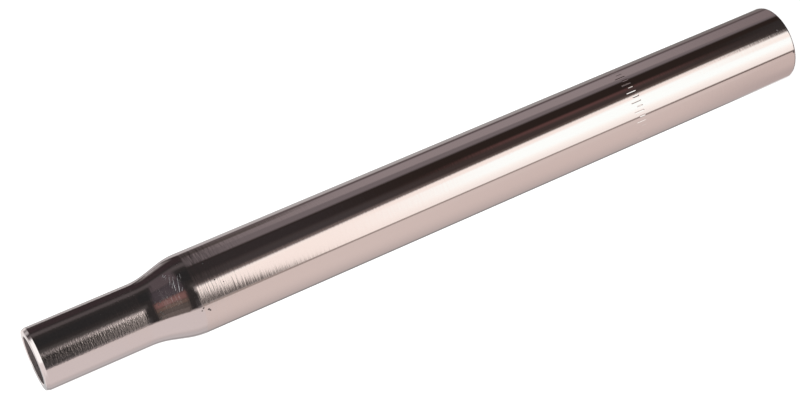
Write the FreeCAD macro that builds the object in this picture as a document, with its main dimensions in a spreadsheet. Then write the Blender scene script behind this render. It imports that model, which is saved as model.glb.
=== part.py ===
import FreeCAD, Part
import math
import os

import Sketcher

# Straight bicycle seatpost, drawn from one length of alloy tube. The saddle end is swaged
# down to a neck that the saddle clamp grips, and both ends are open, with a short lead.
# The frame: +Z up along the tube, origin in the middle of the foot, neck at the top.

# Driving dimensions, in millimetres
SIZES = [
    ("post_length", 300.0),      # foot to neck end
    ("tube_diameter", 28.6),     # outside of the stretch that the frame clamps
    ("tube_wall", 2.0),
    ("neck_diameter", 22.0),     # outside of the stretch that the saddle clamp grips
    ("neck_wall", 2.6),          # swaging thickens the wall
    ("neck_length", 34.5),       # neck end down to where the throat starts to flare
    ("shoulder_length", 21.3),   # height over which the tube closes in to the neck
    ("shoulder_round", 24.0),    # outside radius where the tube starts to close in
    ("slope_length", 3.3),       # straight slope between the shoulder's round and the throat
    ("neck_lead", 1.4),          # height of the tapered lead for the saddle clamp
    ("neck_lead_depth", 0.5),    # how far that taper comes in, before its end is rounded
    ("neck_end_round", 0.45),
    ("foot_lead", 0.5),          # height of the lead for the frame's seat tube
    ("foot_lead_depth", 0.15),
    ("edge_break", 0.2),         # deburred inner edges of both ends
]

START, END, CENTRE = 1, 2, 3     # the point numbers that a sketch's constraints use
SKETCH_AXES = -1                 # the sketch's own geometry: its point 1 is the origin


def make_sheet(doc):
    """The spreadsheet of driving dimensions, one aliased cell for each."""
    sheet = doc.addObject("Spreadsheet::Sheet", "sizes")
    for row, (alias, number) in enumerate(SIZES, start=1):
        sheet.set(f"A{row}", alias)
        sheet.set(f"B{row}", str(number))
        sheet.setAlias(f"B{row}", alias)
    doc.recompute()
    return sheet


def origin_plane(body, role):
    return next(f for f in body.Origin.OriginFeatures if f.Role == role)


class Outline:
    """A closed half-section, radius across and height up, drawn edge by edge."""

    def __init__(self, sketch):
        self.sketch = sketch

    def line(self, start, end):
        segment = Part.LineSegment(FreeCAD.Vector(*start, 0), FreeCAD.Vector(*end, 0))
        return self.sketch.addGeometry(segment, False)

    def arc(self, centre, radius, from_angle, to_angle):
        circle = Part.Circle(FreeCAD.Vector(*centre, 0), FreeCAD.Vector(0, 0, 1), radius)
        return self.sketch.addGeometry(Part.ArcOfCircle(circle, from_angle, to_angle), False)

    def corner(self, place):
        """A construction point, where two edges would meet if their corner weren't rounded."""
        return self.sketch.addGeometry(Part.Point(FreeCAD.Vector(*place, 0)), True)

    def tie(self, kind, *geometry):
        self.sketch.addConstraint(Sketcher.Constraint(kind, *geometry))

    def size(self, name, expression, kind, *geometry):
        """A named dimension, bound to the sheet."""
        index = self.sketch.addConstraint(Sketcher.Constraint(kind, *geometry))
        self.sketch.renameConstraint(index, name)
        self.sketch.setExpression(f"Constraints.{name}", expression)


def draw_shoulder(outline, wide, narrow, low, high, shoulder_round, slope_length):
    """The S from the tube's radius to the neck's: an arc, a short straight slope, an arc.

    The length, one arc and the slope's length are given, and the lean of the slope and the
    other arc's radius follow from them.
    """
    lean = 2 * math.atan((wide - narrow) / (high - low + slope_length))
    both_rounds = (high - low - slope_length * math.cos(lean)) / math.sin(lean)
    throat_round = both_rounds - shoulder_round
    shoulder_centre, throat_centre = (wide - shoulder_round, low), (narrow + throat_round, high)
    across, up = math.cos(lean), math.sin(lean)
    slope_foot = (shoulder_centre[0] + shoulder_round * across, low + shoulder_round * up)
    slope_top = (throat_centre[0] - throat_round * across, high - throat_round * up)
    shoulder = outline.arc(shoulder_centre, shoulder_round, 0, lean)
    slope = outline.line(slope_foot, slope_top)
    throat = outline.arc(throat_centre, throat_round, math.pi, math.pi + lean)
    return shoulder, slope, throat


def draw_wall_section(sketch, sheet):
    """Half-section of the wall: the foot, the outside up to the neck, and the bore."""
    size = {alias: float(sheet.get(alias)) for alias, _ in SIZES}
    length, neck_start = size["post_length"], size["post_length"] - size["neck_length"]
    shoulder_start = neck_start - size["shoulder_length"]
    tube, neck = size["tube_diameter"] / 2, size["neck_diameter"] / 2
    tube_bore, neck_bore = tube - size["tube_wall"], neck - size["neck_wall"]
    lead, lead_depth, end_round = size["neck_lead"], size["neck_lead_depth"], size["neck_end_round"]
    foot_lead, foot_lead_depth = size["foot_lead"], size["foot_lead_depth"]
    deburr = size["edge_break"]

    outline = Outline(sketch)
    foot = outline.line((tube_bore + deburr, 0), (tube - foot_lead_depth, 0))
    foot_edge = outline.line((tube - foot_lead_depth, 0), (tube, foot_lead))
    outside = outline.line((tube, foot_lead), (tube, shoulder_start))
    shoulder, slope, throat = draw_shoulder(
        outline, tube, neck, shoulder_start, neck_start,
        size["shoulder_round"], size["slope_length"])
    neck_side = outline.line((neck, neck_start), (neck, length - lead))
    lean = math.atan(lead_depth / lead)
    reach = end_round * math.tan((math.pi / 2 - lean) / 2)
    end_corner = (neck - lead_depth, length)
    lead_top = (end_corner[0] + reach * math.sin(lean), length - reach * math.cos(lean))
    neck_edge = outline.line((neck, length - lead), lead_top)
    neck_corner = outline.corner(end_corner)
    neck_round = outline.arc((end_corner[0] - reach, length - end_round), end_round,
                             lean, math.pi / 2)
    neck_end = outline.line((end_corner[0] - reach, length), (neck_bore + deburr, length))
    neck_deburr = outline.line((neck_bore + deburr, length), (neck_bore, length - deburr))
    neck_inside = outline.line((neck_bore, length - deburr), (neck_bore, neck_start))
    inner_shoulder, inner_slope, inner_throat = draw_shoulder(
        outline, tube_bore, neck_bore, shoulder_start, neck_start,
        size["shoulder_round"] - size["tube_wall"], size["slope_length"])
    inside = outline.line((tube_bore, shoulder_start), (tube_bore, deburr))
    foot_deburr = outline.line((tube_bore, deburr), (tube_bore + deburr, 0))

    # Corners
    corners = [(foot, foot_edge), (foot_edge, outside), (neck_side, neck_edge),
               (neck_end, neck_deburr), (neck_deburr, neck_inside),
               (inside, foot_deburr), (foot_deburr, foot)]
    for before, after in corners:
        outline.tie("Coincident", before, END, after, START)

    # Straights run smoothly into the arcs. An arc runs anticlockwise from its start.
    smooth_joints = [(outside, END, shoulder, START), (shoulder, END, slope, START),
                     (slope, END, throat, END), (throat, START, neck_side, START),
                     (neck_edge, END, neck_round, START), (neck_round, END, neck_end, START),
                     (inside, START, inner_shoulder, START),
                     (inner_shoulder, END, inner_slope, START),
                     (inner_slope, END, inner_throat, END),
                     (inner_throat, START, neck_inside, END)]
    for joint in smooth_joints:
        outline.tie("Tangent", *joint)

    # The neck's lead and its end would meet in this corner
    outline.tie("PointOnObject", neck_corner, START, neck_edge)
    outline.tie("PointOnObject", neck_corner, START, neck_end)

    # The bore follows the outside: the shoulder's two arcs share their centre, and the
    # slopes are as long as each other and end at the same height of neck
    outline.tie("Coincident", shoulder, CENTRE, inner_shoulder, CENTRE)
    outline.tie("Equal", slope, inner_slope)
    outline.tie("Horizontal", neck_side, START, neck_inside, END)

    for upright in (outside, neck_side, neck_inside, inside):
        outline.tie("Vertical", upright)
    for level in (foot, neck_end):
        outline.tie("Horizontal", level)
    outline.tie("PointOnObject", foot, START, SKETCH_AXES)

    origin = (SKETCH_AXES, START)
    outline.size("length", "sizes.post_length", "DistanceY", *origin, neck_end, START, length)
    outline.size("tube_radius", "sizes.tube_diameter / 2",
                 "DistanceX", *origin, outside, START, tube)
    outline.size("bore_radius", "sizes.tube_diameter / 2 - sizes.tube_wall",
                 "DistanceX", *origin, inside, START, tube_bore)
    outline.size("neck_radius", "sizes.neck_diameter / 2",
                 "DistanceX", *origin, neck_side, START, neck)
    outline.size("neck_bore_radius", "sizes.neck_diameter / 2 - sizes.neck_wall",
                 "DistanceX", *origin, neck_inside, START, neck_bore)
    outline.size("neck_height", "sizes.neck_length",
                 "DistanceY", neck_side, START, neck_end, START, size["neck_length"])
    outline.size("shoulder_height", "sizes.shoulder_length",
                 "DistanceY", outside, END, neck_side, START, size["shoulder_length"])
    outline.size("shoulder_round", "sizes.shoulder_round",
                 "Radius", shoulder, size["shoulder_round"])
    outline.size("slope_length", "sizes.slope_length", "Distance", slope, size["slope_length"])
    outline.size("neck_lead", "sizes.neck_lead",
                 "DistanceY", neck_side, END, neck_end, START, lead)
    outline.size("neck_lead_depth", "sizes.neck_lead_depth",
                 "DistanceX", neck_corner, START, neck_side, END, lead_depth)
    outline.size("neck_end_round", "sizes.neck_end_round", "Radius", neck_round, end_round)
    outline.size("foot_lead", "sizes.foot_lead", "DistanceY", *origin, outside, START, foot_lead)
    outline.size("foot_lead_depth", "sizes.foot_lead_depth",
                 "DistanceX", foot, END, outside, START, foot_lead_depth)

    # Deburred edges at 45 degrees: each has the same run across and up
    edges = [("neck_deburr", neck_deburr, "edge_break", (END, START), (END, START)),
             ("foot_deburr", foot_deburr, "edge_break", (START, END), (END, START))]
    for name, edge, alias, across, up in edges:
        for way, kind, ends in (("across", "DistanceX", across), ("up", "DistanceY", up)):
            outline.size(f"{name}_{way}", f"sizes.{alias}", kind,
                         edge, ends[0], edge, ends[1], size[alias])


def make_seatpost(doc, sheet):
    body = doc.addObject("PartDesign::Body", "SeatpostTube")
    body.Label = "seatpost_tube"
    section = body.newObject("Sketcher::SketchObject", "WallSection")
    section.AttachmentSupport = (origin_plane(body, "XZ_Plane"), [""])
    section.MapMode = "FlatFace"
    draw_wall_section(section, sheet)
    doc.recompute()
    if not section.FullyConstrained:
        raise RuntimeError("the section isn't fully constrained")

    tube = body.newObject("PartDesign::Revolution", "Tube")
    tube.Profile = section
    tube.ReferenceAxis = (section, ["V_Axis"])
    tube.Angle = 360
    section.Visibility = False
    doc.recompute()
    return body


def check_objects(doc, bodies):
    """Stops with a message if anything failed to build."""
    for item in doc.Objects:
        if "Invalid" in item.State or "Error" in item.State:
            raise RuntimeError(f"{item.Label} failed: {item.State}")
    for body in bodies:
        if body.Shape.isNull() or not body.Shape.isValid() or len(body.Shape.Solids) != 1:
            raise RuntimeError(f"{body.Label} isn't one valid solid")


def main():
    doc = FreeCAD.newDocument("seatpost")
    sheet = make_sheet(doc)
    bodies = [make_seatpost(doc, sheet)]
    check_objects(doc, bodies)
    os.makedirs("parts", exist_ok=True)
    for body in bodies:
        body.Shape.exportStep(os.path.join("parts", body.Label + ".step"))
        box = body.Shape.optimalBoundingBox()
        print(body.Label, f"{box.XLength:.2f} x {box.YLength:.2f} x {box.ZLength:.2f} mm,",
              f"{body.Shape.Volume / 1000:.2f} cm3")


main()
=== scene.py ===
"""A polished alloy bicycle seatpost on its foot, on a pale floor, in a soft light studio."""

import math

import bpy
import numpy as np
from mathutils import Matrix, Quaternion, Vector


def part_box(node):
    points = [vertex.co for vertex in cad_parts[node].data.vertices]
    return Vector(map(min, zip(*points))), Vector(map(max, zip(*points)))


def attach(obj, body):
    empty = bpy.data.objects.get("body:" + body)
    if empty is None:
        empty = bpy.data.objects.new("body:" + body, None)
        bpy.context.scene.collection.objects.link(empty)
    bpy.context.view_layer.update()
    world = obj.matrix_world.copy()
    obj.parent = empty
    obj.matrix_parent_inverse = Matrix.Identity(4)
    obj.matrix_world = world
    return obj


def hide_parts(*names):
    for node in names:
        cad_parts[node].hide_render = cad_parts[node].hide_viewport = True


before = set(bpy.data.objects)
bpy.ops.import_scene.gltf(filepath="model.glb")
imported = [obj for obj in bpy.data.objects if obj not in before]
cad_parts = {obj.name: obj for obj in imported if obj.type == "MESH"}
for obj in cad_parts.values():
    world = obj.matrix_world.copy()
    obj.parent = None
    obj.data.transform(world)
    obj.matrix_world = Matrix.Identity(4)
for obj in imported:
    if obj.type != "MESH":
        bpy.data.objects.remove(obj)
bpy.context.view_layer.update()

MM = 0.001
NODE = "seatpost_tube"

# The post's real sizes. The tube's radius and length come from its CAD part.
low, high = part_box(NODE)
LENGTH = high.z - low.z
TUBE_RADIUS = high.x
TUBE_WALL = 2.0 * MM
TUBE_BORE = TUBE_RADIUS - TUBE_WALL
NECK_RADIUS = 11.0 * MM
NECK_WALL = 2.6 * MM
NECK_BORE = NECK_RADIUS - NECK_WALL
NECK_START = LENGTH - 36.9 * MM          # where the straight neck begins
SHOULDER_START = NECK_START - 18.9 * MM  # where the straight tube ends
SHOULDER_ROUND = 24.0 * MM               # bend on the tube's side
SLOPE_LENGTH = 5.6 * MM                  # straight slope between the shoulder's two bends
NECK_LEAD = 1.4 * MM                     # tapered lead for the saddle clamp
NECK_LEAD_DEPTH = 0.5 * MM
NECK_END_ROUND = 0.45 * MM
FOOT_LEAD = 0.5 * MM                     # tapered lead for the frame
FOOT_LEAD_DEPTH = 0.15 * MM
DEBURR = 0.2 * MM
EDGE_ROUND = 0.12 * MM                   # wear on the turned edges
BORE_ROUND = 0.05 * MM

# The ring of insertion marks pressed round the tube near its foot, long and short in turn
MARK_COUNT = 48
MARK_FOOT = 68.3 * MM
LONG_MARK = 4.2 * MM
SHORT_MARK = 2.5 * MM
MARK_WIDTH = 0.55 * MM
MARK_DEPTH = 0.095 * MM

# How finely the surface is divided
SIDES = 768                              # a multiple of MARK_COUNT, so that marks are alike
MARK_ROW = 0.22 * MM                     # height of a row of faces among the marks
ROWS_UNDER_MARKS = [20 * MM, 45 * MM]
ROWS_OVER_MARKS = [120 * MM, 180 * MM, SHOULDER_START - 2 * MM]
EDGE_BEND = 1 * MM                       # bends up to this radius are worn edges
EDGE_STEP = 12                           # degrees of bend to a row of faces
BEND_STEP = 1.3


# Mesh

def shoulder_corners(wide, narrow, first_round):
    """The two bends of the S that joins two radii, each as (radius, height, bend radius)."""
    rise = NECK_START - SHOULDER_START
    lean = 2 * math.atan((wide - narrow) / (rise + SLOPE_LENGTH))
    both_rounds = (rise - SLOPE_LENGTH * math.cos(lean)) / math.sin(lean)
    second_round = both_rounds - first_round
    reach = math.tan(lean / 2)
    return [(wide, SHOULDER_START + first_round * reach, first_round),
            (narrow, NECK_START - second_round * reach, second_round)]


# Corners of the wall's section, by their place in wall_corners, where its finish or rows change
TUBE_FOOT, NECK_END, BORE_TOP, BORE_FOOT = 1, 5, 7, 10


def wall_corners():
    """The wall's section as corners (radius, height, bend radius), up the outside first."""
    outside = [(TUBE_RADIUS - FOOT_LEAD_DEPTH, 0, EDGE_ROUND),
               (TUBE_RADIUS, FOOT_LEAD, EDGE_ROUND),
               *shoulder_corners(TUBE_RADIUS, NECK_RADIUS, SHOULDER_ROUND),
               (NECK_RADIUS, LENGTH - NECK_LEAD, EDGE_ROUND),
               (NECK_RADIUS - NECK_LEAD_DEPTH, LENGTH, NECK_END_ROUND)]
    bore_bends = shoulder_corners(TUBE_BORE, NECK_BORE, SHOULDER_ROUND - TUBE_WALL)
    inside = [(NECK_BORE + DEBURR, LENGTH, BORE_ROUND),
              (NECK_BORE, LENGTH - DEBURR, BORE_ROUND),
              *reversed(bore_bends),
              (TUBE_BORE, DEBURR, BORE_ROUND),
              (TUBE_BORE + DEBURR, 0, BORE_ROUND)]
    return outside, inside


def bend(before, corner, after, radius):
    """Points and outward normals of the arc that rounds a corner."""
    come = (corner - before) / np.linalg.norm(corner - before)
    go = (after - corner) / np.linalg.norm(after - corner)
    turn = math.atan2(come[0] * go[1] - come[1] * go[0], come @ go)
    step = BEND_STEP if radius > EDGE_BEND else EDGE_STEP
    steps = max(2, math.ceil(abs(math.degrees(turn)) / step))
    side = math.copysign(1, turn)
    to_centre = side * np.array([-come[1], come[0]])
    centre = corner - come * radius * math.tan(abs(turn) / 2) + to_centre * radius
    angles = np.linspace(0, turn, steps + 1)
    start = -to_centre
    arms = np.stack([start[0] * np.cos(angles) - start[1] * np.sin(angles),
                     start[0] * np.sin(angles) + start[1] * np.cos(angles)], 1)
    return centre + radius * arms, side * arms


def section_rows():
    """Rows of the turned surface: points, outward normals, and where the corners' bends end."""
    outside, inside = wall_corners()
    corners = [np.array(c[:2]) for c in outside + inside]
    radii = [c[2] for c in outside + inside]
    points, normals, bend_ends = [], [], []
    for i, radius in enumerate(radii):
        arc, facing = bend(corners[i - 1], corners[i], corners[(i + 1) % len(corners)], radius)
        points.extend(arc)
        normals.extend(facing)
        if i == TUBE_FOOT:
            # The straight tube: close rows among the marks, and a few below and above them
            margin = 3 * MARK_ROW
            among = np.arange(MARK_FOOT - margin, MARK_FOOT + LONG_MARK + margin, MARK_ROW)
            heights = [*ROWS_UNDER_MARKS, *among, *ROWS_OVER_MARKS]
            points.extend(np.array([TUBE_RADIUS, height]) for height in heights)
            normals.extend(np.array([1.0, 0.0]) for _ in heights)
        bend_ends.append(len(points))
    return np.array(points), np.array(normals), bend_ends


def mark_depth(angle, height):
    """How deep the pressed marks go: upright grooves with rounded ends, long and short."""
    pitch = 2 * math.pi / MARK_COUNT
    number = np.round(angle / pitch)
    across = (angle - number * pitch) * TUBE_RADIUS
    length = np.where(number % 2 == 0, LONG_MARK, SHORT_MARK)
    half_width = MARK_WIDTH / 2
    straight = length / 2 - half_width
    along = np.maximum(np.abs(height - MARK_FOOT - length / 2) - straight, 0)
    off_centre = np.hypot(across, along) / half_width
    return MARK_DEPTH * np.cos(np.clip(off_centre, 0, 1) * math.pi / 2) ** 2


def lathe_post():
    """The post as one closed turned mesh, with the marks pressed in and exact normals."""
    rows, facing, bend_ends = section_rows()
    count = len(rows)
    angle = np.linspace(0, 2 * math.pi, SIDES, endpoint=False)[None, :]
    radius, height = rows[:, :1], rows[:, 1:]
    step = np.gradient(np.concatenate([[0], np.cumsum(np.hypot(*np.diff(rows, axis=0).T))]))
    is_outside = np.arange(count)[:, None] < bend_ends[NECK_END]
    depth = mark_depth(angle, height) * is_outside
    up_slope = np.gradient(depth, axis=0) / step[:, None]
    round_slope = (np.roll(depth, -1, 1) - np.roll(depth, 1, 1)) / (4 * math.pi / SIDES * radius)

    radius = radius - depth
    sine, cosine = np.sin(angle), np.cos(angle)
    heights = np.broadcast_to(height, depth.shape)
    places = np.stack([radius * sine, -radius * cosine, heights], -1)
    out, up = facing[:, :1], facing[:, 1:]
    normals = np.stack([out * sine + round_slope * cosine,
                        -out * cosine + round_slope * sine,
                        up + up_slope], -1)
    normals /= np.linalg.norm(normals, axis=-1, keepdims=True)

    row, side = np.meshgrid(np.arange(count), np.arange(SIDES), indexing="ij")
    next_row, next_side = (row + 1) % count, (side + 1) % SIDES
    faces = np.stack([row * SIDES + side, row * SIDES + next_side,
                      next_row * SIDES + next_side, next_row * SIDES + side], -1)

    mesh = bpy.data.meshes.new("seatpost")
    mesh.from_pydata(places.reshape(-1, 3).tolist(), [], faces.reshape(-1, 4).tolist())
    mesh.shade_smooth()
    mesh.normals_split_custom_set_from_vertices(normals.reshape(-1, 3).tolist())
    is_bore = (row >= bend_ends[BORE_TOP] - 1) & (row < bend_ends[BORE_FOOT] - 1)
    mesh.polygons.foreach_set("material_index", is_bore.reshape(-1).astype(np.int32))
    post = bpy.data.objects.new("seatpost", mesh)
    bpy.context.scene.collection.objects.link(post)
    return post


# Nodes

class Graph:
    """Short calls for the nodes of a material or of the world."""

    def __init__(self, owner):
        owner.use_nodes = True
        self.tree = owner.node_tree
        self.tree.nodes.clear()

    def node(self, kind, **settings):
        made = self.tree.nodes.new(kind)
        for name, value in settings.items():
            setattr(made, name, value)
        return made

    def feed(self, socket, value):
        """Gives a socket a number, a colour, a vector or another node's output."""
        if isinstance(value, bpy.types.NodeSocket):
            self.tree.links.new(value, socket)
        else:
            socket.default_value = value

    def math(self, operation, *values, clamp=False):
        made = self.node("ShaderNodeMath", operation=operation, use_clamp=clamp)
        for socket, value in zip(made.inputs, values):
            self.feed(socket, value)
        return made.outputs[0]

    def split(self, vector):
        """The x, y and z of a vector."""
        made = self.node("ShaderNodeSeparateXYZ")
        self.feed(made.inputs[0], vector)
        return made.outputs

    def turn(self, x, y):
        """The angle round the post in radians, 0 at -Y and growing towards -X."""
        return self.math("ARCTAN2", self.math("MULTIPLY", x, -1), self.math("MULTIPLY", y, -1))

    def smooth(self, value, start, end):
        """0 at start, 1 at end, with an easy run between them."""
        made = self.node("ShaderNodeMapRange", interpolation_type="SMOOTHSTEP")
        for name, given in (("Value", value), ("From Min", start), ("From Max", end)):
            self.feed(made.inputs[name], given)
        return made.outputs[0]

    def mix(self, share, first, second):
        made = self.node("ShaderNodeMix", data_type="RGBA")
        self.feed(made.inputs[0], share)
        self.feed(made.inputs[6], first)
        self.feed(made.inputs[7], second)
        return made.outputs[2]

    def noise(self, vector, fineness, detail, roughness=0.5):
        """Noise of a fineness along x, y and z, in waves to a metre."""
        stretched = self.node("ShaderNodeMapping")
        self.feed(stretched.inputs["Vector"], vector)
        stretched.inputs["Scale"].default_value = fineness
        made = self.node("ShaderNodeTexNoise", noise_dimensions="3D")
        self.feed(made.inputs["Vector"], stretched.outputs[0])
        made.inputs["Scale"].default_value = 1.0
        made.inputs["Detail"].default_value = detail
        made.inputs["Roughness"].default_value = roughness
        return made.outputs["Fac"]

    def metal(self, colour, roughness):
        """A metal on the material's surface, as its shader node."""
        shader = self.node("ShaderNodeBsdfPrincipled")
        self.feed(shader.inputs["Base Color"], colour)
        self.feed(shader.inputs["Roughness"], roughness)
        shader.inputs["Metallic"].default_value = 1.0
        self.feed(self.node("ShaderNodeOutputMaterial").inputs[0], shader.outputs[0])
        return shader


def rgb(red, green, blue):
    return (red, green, blue, 1.0)


# Metal

ALLOY_COLOUR = rgb(0.93, 0.875, 0.85)
# Painted shade: the foot's edge is coloured dark for the dark line along it
RIM_PAINTED_SHADE = rgb(0.33, 0.29, 0.28)
# Painted shade in the pits, which have no depth of their own
PIT_PAINTED_SHADE = rgb(0.035, 0.028, 0.026)
SCRATCH_COLOUR = rgb(0.80, 0.80, 0.82)
BORE_COLOUR = rgb(0.62, 0.57, 0.56)
BORE_SHADE = rgb(0.34, 0.31, 0.30)

# Roughness
POLISH = 0.07
SATIN = 0.066
SATIN_SPECKLE = 0.035                    # added by the grain's specks
SPECKLE_FROM = 0.48                      # the grain's noise where its specks begin
SPECKLE_FULL = 0.64
WORN = 0.42
DRAWN = 0.55                             # in the bore
BRUSHED = 0.6                            # how far polishing stretches the reflections
BRUSHED_ROUND = 0.25                     # turns their stretch from round the post to up it

# Relief, each with its fineness: waves to a metre along x, y and z
RINGS = (140, 140, 1200)                 # marks of the polishing wheel
RING_RELIEF = 0.009 * MM
COARSE_RINGS = 1.4                       # share added to it by the shoulder and above
RINGS_WORN = 0.014 * MM                  # taken off it again on the neck
FINE_RINGS = (260, 260, 2300)            # the neck's own fine rings
FINE_RING_RELIEF = 0.012 * MM
GRAIN = (1900, 1900, 2100)               # the neck's satin grain
GRAIN_RELIEF = 0.013 * MM
BLOTCHES = (420, 420, 500)               # unevenness of the swaged shoulder
BLOTCH_RELIEF = 0.020 * MM
BORE_GRAIN = (1400, 1400, 1400)

# Heights where one finish gives way to the next
SATIN_FROM = 260.5 * MM
SATIN_FULL = 263.5 * MM
# Below these heights the foot's edge is darkened with painted shade
RIM_SHADE_FROM = FOOT_LEAD * 1.1
RIM_SHADE_FULL = FOOT_LEAD * 0.8
BLOTCHES_FROM = SHOULDER_START
BLOTCHES_FULL = SHOULDER_START + 4 * MM
BLOTCHES_FADE = NECK_START - 6 * MM
BLOTCHES_END = NECK_START
COARSE_FROM = SHOULDER_START - 24 * MM
COARSE_FULL = SHOULDER_START - 4 * MM

# Wear, as (height in mm, angle in degrees, length round the post and height in mm, slant in
# degrees). The angle is 0 at -Y and grows towards -X.
SCRATCHES = [
    (252.3, -42.5, 1.3, 0.5, 35), (251.8, -39.5, 1.2, 0.45, 70), (250.9, -33.0, 2.2, 0.14, 16),
    (250.4, -23.0, 3.4, 0.17, 14), (250.0, -29.0, 2.0, 0.13, 20), (249.6, -13.0, 3.2, 0.26, 15),
    (249.2, -19.0, 4.6, 0.17, 14), (248.6, -26.0, 2.6, 0.13, 18), (250.7, -16.0, 2.4, 0.13, 12),
    (247.6, -27.5, 2.2, 0.2, 12), (251.4, -26.0, 2.0, 0.11, 22), (248.9, -9.5, 1.6, 0.22, 25),
    (251.9, -35.5, 1.8, 0.12, 40), (251.2, -20.0, 2.0, 0.1, 18)]
# Pits: rough, and darkened with painted shade
PITS = [
    (248.15, -22.0, 1.1, 0.55, 20), (256.7, -6.2, 0.8, 0.4, 40), (257.3, 13.0, 1.4, 0.5, -30),
    (257.9, 9.0, 0.7, 0.4, 20), (258.3, 18.5, 0.9, 0.5, 0), (256.6, 20.3, 0.6, 0.4, 0),
    (254.2, -8.0, 0.6, 0.35, 0), (244.7, 25.6, 0.8, 0.5, 60), (243.1, 30.2, 0.7, 0.9, 0),
    (242.7, 32.2, 0.8, 0.6, -40), (243.7, 18.2, 0.6, 0.9, 0), (242.4, 21.0, 0.4, 0.7, 0),
    (257.6, -3.0, 0.5, 0.4, 0), (258.4, -9.5, 0.6, 0.35, 30), (245.4, 28.6, 0.5, 0.5, 0),
    (237.9, -4.0, 0.6, 0.55, 0), (235.4, 3.0, 0.4, 0.35, 0), (0.85, 24.8, 1.3, 0.7, 0)]
SPECKS = [(4.3, -14.8, 0.7, 0.65, 0), (246.5, -47.0, 0.4, 0.3, 0), (239.0, -31.0, 0.4, 0.35, 0)]
SPOT_EDGE = (1.3, 0.6)                   # where a mark begins and is full, as a share of its size
PIT_SHADE_SHARE = 0.85                        # how dark the painted shade in a pit is


def unrolled(g, place):
    """Object coordinates as (round the post, height, 0) in mm, unrolled at the tube's radius."""
    x, y, z = g.split(place)
    flat = g.node("ShaderNodeCombineXYZ")
    g.feed(flat.inputs[0], g.math("MULTIPLY", g.turn(x, y), TUBE_RADIUS / MM))
    g.feed(flat.inputs[1], g.math("DIVIDE", z, MM))
    return flat.outputs[0]


def spots(g, flat, places):
    """1 inside the oval marks that a list gives, and 0 outside them."""
    share = 0.0
    for height, angle, length, width, slant in places:
        oval = g.node("ShaderNodeMapping", vector_type="TEXTURE")
        g.feed(oval.inputs["Vector"], flat)
        around = math.radians(angle) * TUBE_RADIUS / MM
        g.feed(oval.inputs["Location"], (around, height, 0))
        g.feed(oval.inputs["Rotation"], (0, 0, math.radians(slant)))
        g.feed(oval.inputs["Scale"], (length / 2, width / 2, 1))
        distance = g.node("ShaderNodeVectorMath", operation="LENGTH")
        g.feed(distance.inputs[0], oval.outputs[0])
        share = g.math("MAXIMUM", share, g.smooth(distance.outputs["Value"], *SPOT_EDGE))
    return share


def alloy_polished():
    """Polished alloy: short marks of the polishing wheel round it, a satin neck, and wear, with
    painted shade along the foot's edge and in the pits.
    """
    material = bpy.data.materials.new("alloy_polished")
    g = Graph(material)
    place = g.node("ShaderNodeTexCoord").outputs["Object"]
    flat = unrolled(g, place)
    height = g.split(place)["Z"]
    satin = g.smooth(height, SATIN_FROM, SATIN_FULL)
    rim_shade = g.smooth(height, RIM_SHADE_FROM, RIM_SHADE_FULL)
    coarser = g.smooth(height, COARSE_FROM, COARSE_FULL)
    blotched = g.math("MULTIPLY", g.smooth(height, BLOTCHES_FROM, BLOTCHES_FULL),
                      g.smooth(height, BLOTCHES_END, BLOTCHES_FADE))
    scratched = spots(g, flat, SCRATCHES)
    speckled = spots(g, flat, SPECKS)
    pitted = spots(g, flat, PITS)

    rings = g.noise(place, RINGS, detail=4.0)
    fine_rings = g.noise(place, FINE_RINGS, detail=2.0)
    grain = g.noise(place, GRAIN, detail=1.0)
    blotches = g.noise(place, BLOTCHES, detail=2.0)
    ring_relief = g.math("ADD", RING_RELIEF, g.math("MULTIPLY", coarser, RING_RELIEF * COARSE_RINGS))
    ring_relief = g.math("SUBTRACT", ring_relief, g.math("MULTIPLY", satin, RINGS_WORN))
    relief = g.math("MULTIPLY", rings, ring_relief)
    for texture, share, depth in ((fine_rings, satin, FINE_RING_RELIEF),
                                  (grain, satin, GRAIN_RELIEF),
                                  (blotches, blotched, BLOTCH_RELIEF)):
        layer = g.math("MULTIPLY", texture, g.math("MULTIPLY", share, depth))
        relief = g.math("ADD", relief, layer)
    bump = g.node("ShaderNodeBump")
    bump.inputs["Strength"].default_value = 1.0
    bump.inputs["Distance"].default_value = 1.0
    g.feed(bump.inputs["Height"], relief)

    # Painted shade along the foot's edge
    colour = g.mix(rim_shade, ALLOY_COLOUR, RIM_PAINTED_SHADE)
    bared = g.math("MAXIMUM", scratched, speckled)
    colour = g.mix(bared, colour, SCRATCH_COLOUR)
    # Painted shade in the pits
    colour = g.mix(g.math("MULTIPLY", pitted, PIT_SHADE_SHARE), colour, PIT_PAINTED_SHADE)
    worn = g.math("MAXIMUM", bared, pitted)
    speckle = g.math("MULTIPLY", g.smooth(grain, SPECKLE_FROM, SPECKLE_FULL), SATIN_SPECKLE)
    matt = g.math("ADD", SATIN - POLISH, speckle)
    unworn = g.math("ADD", POLISH, g.math("MULTIPLY", satin, matt))
    rough = g.math("ADD", unworn, g.math("MULTIPLY", worn, WORN - POLISH))

    shader = g.metal(colour, rough)
    shader.inputs["Anisotropic"].default_value = BRUSHED
    shader.inputs["Anisotropic Rotation"].default_value = BRUSHED_ROUND
    g.feed(shader.inputs["Normal"], bump.outputs[0])
    g.feed(shader.inputs["Tangent"],
           g.node("ShaderNodeTangent", direction_type="RADIAL", axis="Z").outputs[0])
    return material


def alloy_drawn():
    """The bore as it was drawn, dull and grey."""
    material = bpy.data.materials.new("alloy_drawn")
    g = Graph(material)
    place = g.node("ShaderNodeTexCoord").outputs["Object"]
    grain = g.noise(place, BORE_GRAIN, detail=3.0, roughness=0.6)
    g.metal(g.mix(grain, BORE_SHADE, BORE_COLOUR), DRAWN)
    return material


# Studio

WHITE = rgb(1, 1, 1)
PAPER = rgb(0.66, 0.555, 0.53)


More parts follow.
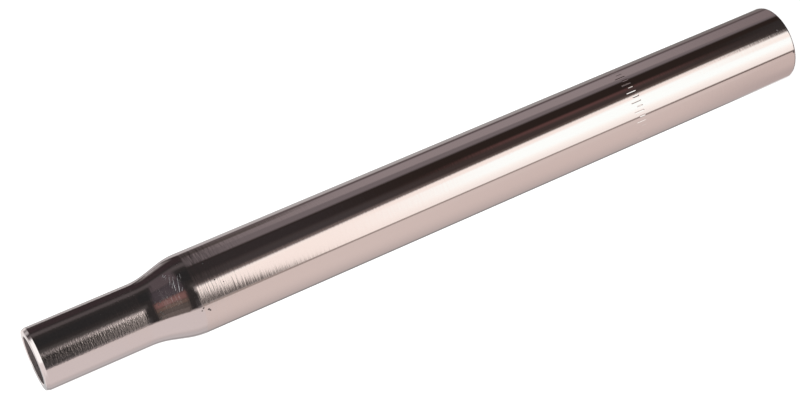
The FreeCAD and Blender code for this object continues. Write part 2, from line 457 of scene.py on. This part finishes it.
class Studio:
    """What stands round the post, by direction: cards and lamps, each over those before it.

    Azimuth is in degrees, 0 towards the camera and growing towards -X. Elevation is above
    the horizon. A card's sides are given where they cross LEAN_LEVEL, and lean from there by
    so many degrees of azimuth for each degree of elevation.
    """

    LEAN_LEVEL = -12

    def __init__(self, graph, colour):
        self.graph = graph
        self.colour = colour
        x, y, z = graph.split(graph.node("ShaderNodeTexCoord").outputs["Generated"])
        self.azimuth = graph.math("MULTIPLY", graph.turn(x, y), math.degrees(1))
        self.elevation = graph.math("MULTIPLY", graph.math("ARCSINE", z), math.degrees(1))
        self.rise = graph.math("SUBTRACT", self.elevation, self.LEAN_LEVEL)

    def past(self, value, edge, soft, lean=0):
        """0 before an edge and 1 past it. A negative softness turns it round."""
        g = self.graph
        if lean:
            value = g.math("SUBTRACT", value, g.math("MULTIPLY", self.rise, lean))
        return g.smooth(value, edge - soft / 2, edge + soft / 2)

    def card(self, name, colour, left=None, right=None, low=None, high=None,
             soft=8, ends=4, left_lean=0, right_lean=0):
        """Hangs a card. Its sides fade over soft degrees, its low and high edges over ends."""
        g = self.graph
        edges = []
        if left is not None:
            edges.append(self.past(self.azimuth, left, soft, left_lean))
        if right is not None:
            edges.append(self.past(self.azimuth, right, -soft, right_lean))
        if low is not None:
            edges.append(self.past(self.elevation, low, ends))
        if high is not None:
            edges.append(self.past(self.elevation, high, -ends))
        share = edges[0]
        for edge in edges[1:]:
            share = g.math("MULTIPLY", share, edge)
        share.node.label = name
        self.colour = g.mix(share, self.colour, colour)


def hang_cards(studio):
    """What the polish shows: pale paper on one side, a grey wall and a black flag on the other,
    a soft box by the camera, and a dark ceiling."""
    card = studio.card
    # The pale paper, from the camera's left round to the back
    card("paper's low side", rgb(0.635, 0.525, 0.50), left=62, high=-21, soft=50, ends=8)
    card("paper turns away", rgb(0.42, 0.365, 0.36), left=126, soft=96)
    card("paper's dark edge", rgb(0.27, 0.245, 0.245), left=150, soft=9)
    card("paper's lowest part", rgb(0.47, 0.385, 0.375), left=70, right=150, high=-31, soft=60,
         ends=5)
    card("cool paper by the neck", rgb(0.635, 0.56, 0.56), left=45, right=116, low=-11,
         soft=24, ends=3)
    card("paper behind", rgb(0.24, 0.225, 0.225), left=158, soft=16)
    card("bright paper behind", rgb(0.95, 0.93, 0.94), left=152, high=-31.6, soft=12, ends=3)
    card("paper turns away by the neck", rgb(0.51, 0.467, 0.475), left=118, low=-11, soft=30,
         ends=3)
    card("paper's dark edge by the neck", rgb(0.32, 0.298, 0.305), left=143, low=-11, soft=9,
         ends=3)
    card("paper behind the neck", rgb(0.80, 0.78, 0.785), left=159, low=-11, soft=16, ends=3)
    card("paper behind, higher up", rgb(0.53, 0.525, 0.53), left=158, low=1, soft=16, ends=5)
    # The other side
    card("far paper", rgb(0.40, 0.372, 0.372), right=-100, soft=10)
    card("far paper higher up", rgb(0.46, 0.43, 0.435), right=-100, low=-17, soft=10, ends=8)
    card("far paper low down", rgb(0.17, 0.15, 0.145), right=-100, high=-27, soft=10, ends=16)
    card("far paper low behind", rgb(0.26, 0.25, 0.25), right=-162, high=-22, soft=16, ends=16)
    card("far paper behind", rgb(0.47, 0.475, 0.48), right=-164, low=-18, soft=16, ends=12)
    card("far paper by the ceiling", rgb(0.48, 0.445, 0.45), right=-100, low=-8, soft=10,
         ends=8)
    card("far paper by the neck", rgb(0.23, 0.22, 0.22), right=-162, low=-11, soft=16, ends=3)
    card("far paper over the neck", rgb(0.47, 0.47, 0.47), right=-164, low=1, soft=16, ends=6)
    # Grey wall and black flag
    card("grey wall", rgb(0.275, 0.230, 0.237), left=-135.5, right=20, soft=10)
    card("wall low down", rgb(0.19, 0.151, 0.157), left=-139, right=20, high=-31, ends=8)
    card("wall's shaded top", rgb(0.12, 0.098, 0.104), left=-135, right=20, low=-14, ends=12)
    card("wall's far top corner", rgb(0.09, 0.073, 0.07), left=-136, right=-111, low=-15.6,
         ends=3)
    card("wall's edge", rgb(0.112, 0.089, 0.092), left=-135, right=-123, soft=7)
    card("wall's darker strip", rgb(0.165, 0.138, 0.146), left=-95, right=20, soft=7,
         left_lean=-0.45)
    card("black flag", rgb(0.023, 0.0155, 0.0135), left=-71.5, right=20, soft=9,
         left_lean=0.3)
    card("flag's upper part", rgb(0.032, 0.0255, 0.0265), left=-68, right=20, low=-18, soft=9,
         ends=6)
    card("warm lamp", rgb(0.125, 0.058, 0.056), left=-48, right=-36, high=-22.5, low=-29.5,
         soft=9, ends=5)
    # Above the set
    card("dark ceiling", rgb(0.028, 0.0245, 0.0245), left=-132.5, right=46.5, low=-12.3, soft=9,
         ends=2.4, left_lean=-1.5)
    card("warm ceiling", rgb(0.038, 0.0265, 0.029), left=-134, right=-100, low=-11, soft=14,
         ends=3)
    card("far wall's top", rgb(0.15, 0.13, 0.13), left=-138, right=-125, low=-5, soft=6, ends=5)
    card("far lamp", rgb(0.085, 0.072, 0.074), left=-94, right=-79, low=-12, soft=12, ends=3)
    card("dark gap in the ceiling", rgb(0.021, 0.020, 0.021), left=-66, right=-34, low=-10,
         soft=10, ends=3)
    card("blue grey wall", rgb(0.090, 0.070, 0.077), left=-92, right=-52, low=8, soft=12,
         ends=7)
    card("dark blue wall", rgb(0.062, 0.050, 0.058), left=-52, right=-14, low=8, soft=14,
         ends=7)
    card("copper card", rgb(0.190, 0.100, 0.094), left=-13, right=7, low=8, soft=12, ends=6)
    card("brown card", rgb(0.13, 0.088, 0.074), left=7, right=19, low=8, soft=8, ends=6)
    card("olive card", rgb(0.095, 0.075, 0.068), left=19, right=32, low=8, soft=8, ends=6)
    card("grey card", rgb(0.13, 0.105, 0.098), left=32, right=47, low=8, soft=6, ends=6)
    card("pale side of the ceiling", rgb(0.47, 0.44, 0.45), left=-200, right=-107, low=12,
         soft=14, ends=6)
    card("pale side, further round", rgb(0.47, 0.44, 0.45), left=-200, right=-134, low=-1, soft=10,
         ends=5)
    card("pale side's edge", rgb(0.85, 0.80, 0.79), left=-200, right=-143, low=1, soft=8, ends=5)
    card("ceiling's pale part", rgb(0.62, 0.585, 0.585), left=-200, low=26, ends=14)
    card("ceiling by the paper", rgb(0.78, 0.71, 0.71), left=8, low=26, soft=20, ends=6)
    card("overhead light", rgb(1.06, 1.05, 1.05), left=-80, right=20, low=24, soft=12, ends=5)
    # Soft box
    card("paper at the foot", rgb(0.60, 0.49, 0.465), left=20, right=100, high=-32, soft=40,
         ends=3)
    card("haze by the soft box", rgb(0.050, 0.036, 0.034), left=-36, right=0, high=-12,
         soft=16, left_lean=0.4)
    card("cool haze by the soft box", rgb(0.053, 0.044, 0.045), left=-36, right=0, low=-19.5,
         high=-12, soft=16, ends=4, left_lean=0.4)
    card("glow by the soft box", rgb(0.115, 0.088, 0.078), left=-13.5, right=0, high=-12,
         soft=9, left_lean=0.85)
    card("glow higher up", rgb(0.17, 0.135, 0.13), left=-15, right=0, low=-21, high=-12, soft=9,
         ends=5, left_lean=0.85)
    card("haze over the cut corner", rgb(0.050, 0.045, 0.046), left=22, right=41, low=-8,
         high=-3, soft=10, ends=3)
    card("haze by the paper", rgb(0.15, 0.13, 0.135), left=41, right=46.5, low=-10.8, high=-4,
         soft=6, ends=2)
    card("haze over the soft box", rgb(0.065, 0.058, 0.057), left=-22, right=-11, low=-12,
         high=-2, soft=12, ends=5)
    card("glow over the soft box", rgb(0.40, 0.352, 0.348), left=-10.6, right=1.5, low=-14,
         high=-7.4, soft=10, ends=6, left_lean=-0.25)
    card("soft box", rgb(1.06, 1.03, 1.0), left=-6.7, right=49, high=-11.4, soft=7.5,
         ends=1.8, left_lean=0.8)
    card("soft box's middle", rgb(1.06, 1.13, 1.13), left=0, right=22, high=-20, soft=14,
         ends=8, left_lean=0.75)
    card("soft box's far side", rgb(0.97, 0.895, 0.865), left=33, right=49, high=-11.4, soft=20,
         ends=1.8)
    card("soft box's warm edge", rgb(1.01, 0.90, 0.86), left=-7.0, right=2, high=-14,
         soft=7.5, ends=8, left_lean=0.8, right_lean=0.8)
    card("soft box's bulge", rgb(1.01, 0.90, 0.86), left=-7.5, right=2, low=-23.5, high=-18.5,
         soft=7.5, ends=4, left_lean=0.8, right_lean=0.8)
    card("soft box's warm foot", rgb(1.03, 0.945, 0.90), left=-13, right=3, high=-31.5, soft=9,
         ends=2.5)
    card("soft box's warm top", rgb(1.01, 0.895, 0.85), left=-5, right=49, low=-19.5,
         high=-11.4, soft=10, ends=7)
    card("soft box's cut corner", rgb(0.07, 0.058, 0.055), left=12.5, right=49, high=-11, low=-20,
         soft=24, ends=2, left_lean=-8.8)
    card("flag's low corner", rgb(0.032, 0.0275, 0.0275), left=-60, right=-15.5, high=-32, soft=9,
         ends=3)
    card("paper beside the soft box", PAPER, left=48, right=60, high=-12, soft=3, ends=3)
    card("paper low beside it", rgb(0.60, 0.49, 0.465), left=48, right=60, high=-32, soft=3,
         ends=3)
    card("gap beside the soft box", rgb(0.33, 0.27, 0.25), left=43.7, right=48.5, high=-11,
         soft=2.5, ends=2, left_lean=-0.025)
    card("gap low down", rgb(0.14, 0.107, 0.098), left=46.4, right=49.6, high=-28.5, soft=2.5,
         ends=6)


def build_world():
    """White to the camera, plain light to the floor, and the studio to the polish."""
    world = bpy.data.worlds.new("studio")
    bpy.context.scene.world = world
    g = Graph(world)
    studio = Studio(g, PAPER)
    hang_cards(studio)
    ray = g.node("ShaderNodeLightPath").outputs
    mirrored = g.math("ADD", ray["Is Glossy Ray"], ray["Is Transmission Ray"], clamp=True)
    lit = g.mix(mirrored, WHITE, studio.colour)
    background = g.node("ShaderNodeBackground")
    g.feed(background.inputs["Color"], g.mix(ray["Is Camera Ray"], lit, WHITE))
    g.feed(g.node("ShaderNodeOutputWorld").inputs[0], background.outputs[0])


FLOOR_HALF = 6.0                         # half of the floor's side
FLOOR_COLOUR = rgb(0.6, 0.6, 0.6)
FLOOR_GLOW = rgb(0.65, 0.65, 0.65)       # takes the floor past white to the camera


def build_floor():
    """A pale floor that keeps the post's shadow and is white to the camera elsewhere."""
    mesh = bpy.data.meshes.new("floor")
    corners = [(-FLOOR_HALF, -FLOOR_HALF, 0), (FLOOR_HALF, -FLOOR_HALF, 0),
               (FLOOR_HALF, FLOOR_HALF, 0), (-FLOOR_HALF, FLOOR_HALF, 0)]
    mesh.from_pydata(corners, [], [(0, 1, 2, 3)])
    floor = bpy.data.objects.new("floor", mesh)
    bpy.context.scene.collection.objects.link(floor)
    material = bpy.data.materials.new("pale_floor")
    g = Graph(material)
    diffuse = g.node("ShaderNodeBsdfDiffuse")
    diffuse.inputs["Color"].default_value = FLOOR_COLOUR
    glow = g.node("ShaderNodeEmission")
    glow.inputs["Color"].default_value = FLOOR_GLOW
    g.feed(glow.inputs["Strength"], g.node("ShaderNodeLightPath").outputs["Is Camera Ray"])
    both = g.node("ShaderNodeAddShader")
    g.feed(both.inputs[0], diffuse.outputs[0])
    g.feed(both.inputs[1], glow.outputs[0])
    g.feed(g.node("ShaderNodeOutputMaterial").inputs[0], both.outputs[0])
    mesh.materials.append(material)
    floor.visible_glossy = False


CAMERA_DISTANCE = 0.562                  # from the post's axis
CAMERA_HEIGHT = 0.3611
AIM_HEIGHT = 0.1634                      # the picture's middle is at this height
AIM_SIDE = -0.00011                      # and this far from the axis
CAMERA_ROLL = -113.26                    # degrees, anticlockwise, which lays the post across
LENS = 76.7                              # mm


def build_camera():
    data = bpy.data.cameras.new("camera")
    data.lens = LENS
    camera = bpy.data.objects.new("camera", data)
    bpy.context.scene.collection.objects.link(camera)
    camera.location = (0, -CAMERA_DISTANCE, CAMERA_HEIGHT)
    aim = Vector((AIM_SIDE, 0, AIM_HEIGHT)) - camera.location
    roll = Quaternion((0, 0, 1), math.radians(CAMERA_ROLL))
    camera.rotation_mode = "QUATERNION"
    camera.rotation_quaternion = aim.to_track_quat("-Z", "Y") @ roll
    bpy.context.scene.camera = camera


def build_post():
    post = lathe_post()
    post.data.materials.append(alloy_polished())
    post.data.materials.append(alloy_drawn())
    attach(post, "root")
    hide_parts(NODE)


build_camera()
build_world()
build_floor()
build_post()

bpy.context.scene.view_settings.view_transform = "Standard"
